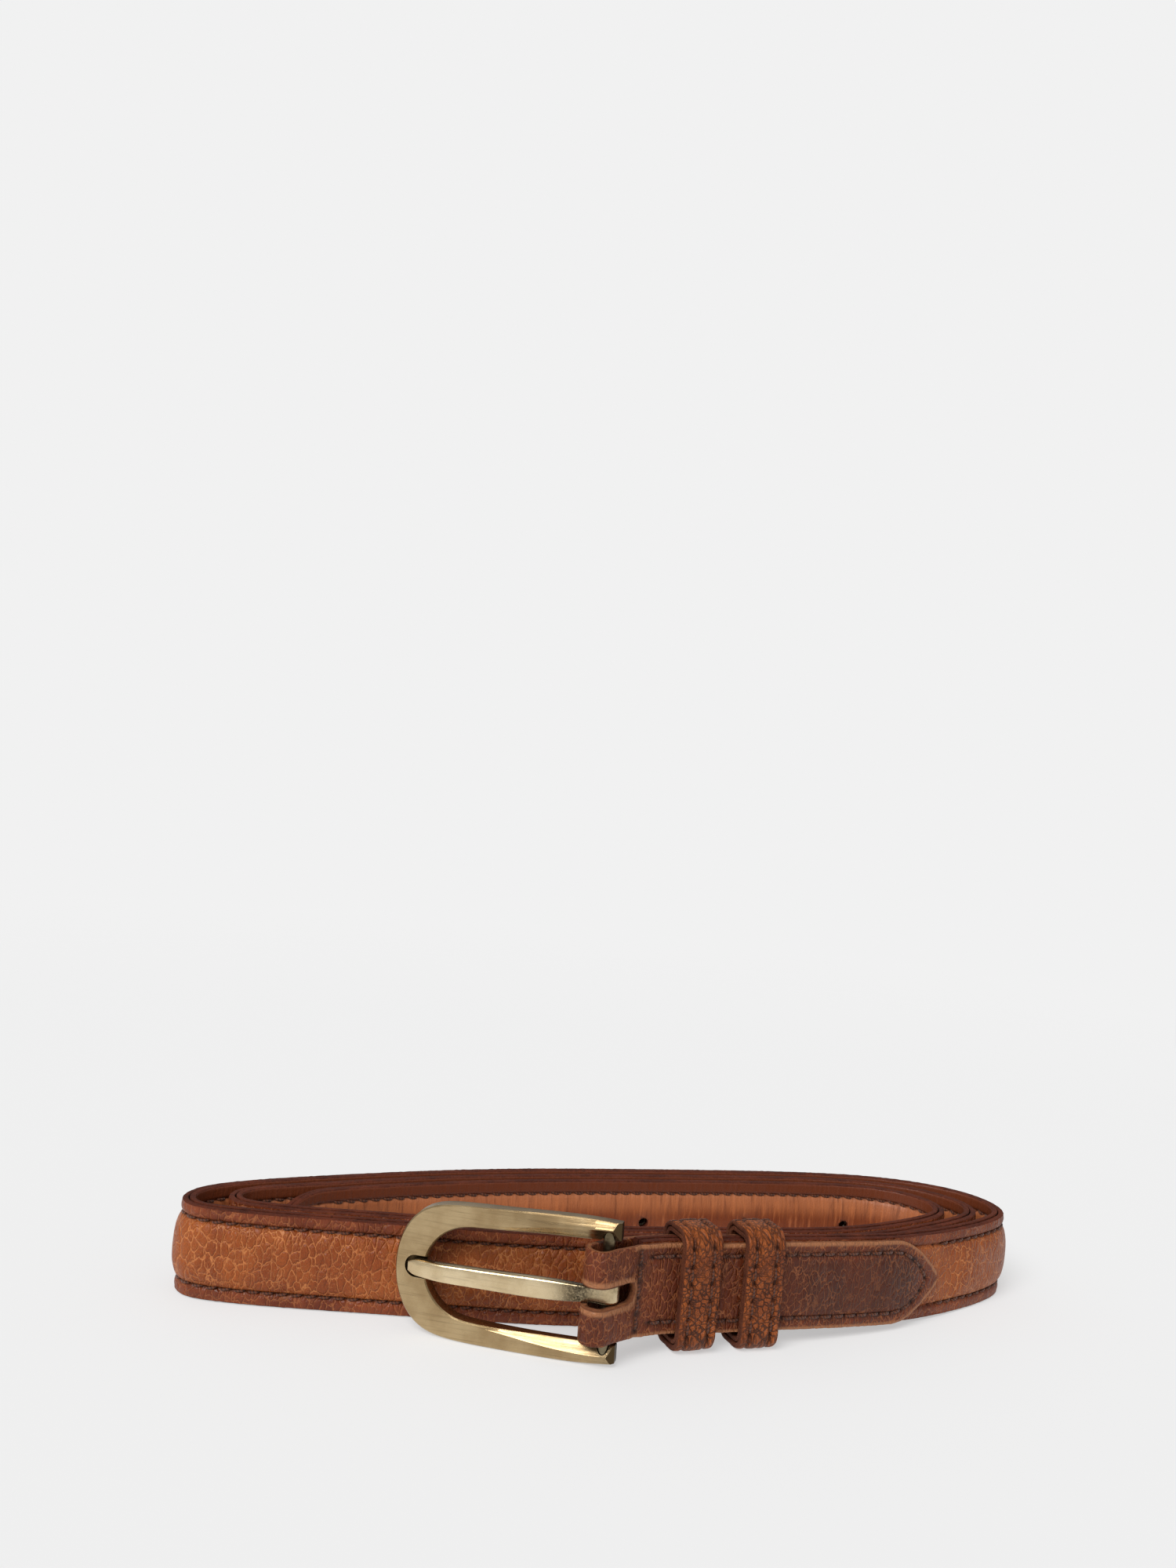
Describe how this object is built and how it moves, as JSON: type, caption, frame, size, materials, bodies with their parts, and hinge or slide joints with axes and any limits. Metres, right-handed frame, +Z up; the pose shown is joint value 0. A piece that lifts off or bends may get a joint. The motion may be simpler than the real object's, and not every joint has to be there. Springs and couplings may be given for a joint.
{
  "type": "leather dress belt",
  "caption": "Slim padded and stitched leather belt with an open-frame prong buckle, a tabbed chape and two keeper loops, coiled on its edge.",
  "frame": {"origin": "middle of the coiled belt's footprint, on the surface that it stands on", "axes": "+X along the coil's long axis, +Z up across the strap's width, and the buckle and keepers on the -Y side"},
  "size_m": [0.2013, 0.0751, 0.0296],
  "materials": {
    "cover_leather": "cognac pebbled full-grain leather, semi-matt",
    "lining_leather": "tan smooth lining leather",
    "chape_leather": "red-brown smooth leather, semi-matt",
    "keeper_leather": "crackled brown leather, matt",
    "padding": "pressed filler strip",
    "thread": "brown waxed sewing thread",
    "antique_brass": "antique brass, brushed",
    "bar_steel": "plated steel pin"
  },
  "bodies": {
    "strap": {"strap_cover": "cover_leather", "strap_lining": "lining_leather", "strap_padding": "padding", "strap_thread_upper": "thread", "strap_thread_lower": "thread", "chape": "chape_leather", "chape_thread": "thread", "bar_thread": "thread", "keeper_fixed_cover": "keeper_leather", "keeper_fixed_lining": "lining_leather", "keeper_fixed_thread_near_bar": "thread", "keeper_fixed_thread_far_from_bar": "thread"},
    "sliding_keeper": {"keeper_sliding_cover": "keeper_leather", "keeper_sliding_lining": "lining_leather", "keeper_sliding_thread_near_bar": "thread", "keeper_sliding_thread_far_from_bar": "thread"},
    "buckle": {"buckle_frame": "antique_brass", "buckle_bar": "bar_steel"},
    "prong": {"buckle_prong": "antique_brass"}
  },
  "joints": [
    {"name": "buckle_swing", "type": "hinge", "parent": "strap", "child": "buckle", "pos_m": [-0.01455, -0.033, 0.0151], "axis": [-0.0278, 0.0146, 0.9995], "range_deg": [0, 60]},
    {"name": "prong_swing", "type": "hinge", "parent": "buckle", "child": "prong", "pos_m": [-0.01455, -0.033, 0.0151], "axis": [-0.0278, 0.0146, 0.9995], "range_deg": [0, 90]},
    {"name": "keeper_slide", "type": "slide", "parent": "strap", "child": "sliding_keeper", "axis": [0.9949, 0.1012, 0], "range_m": [-0.0055, 0.0015]}
  ]
}
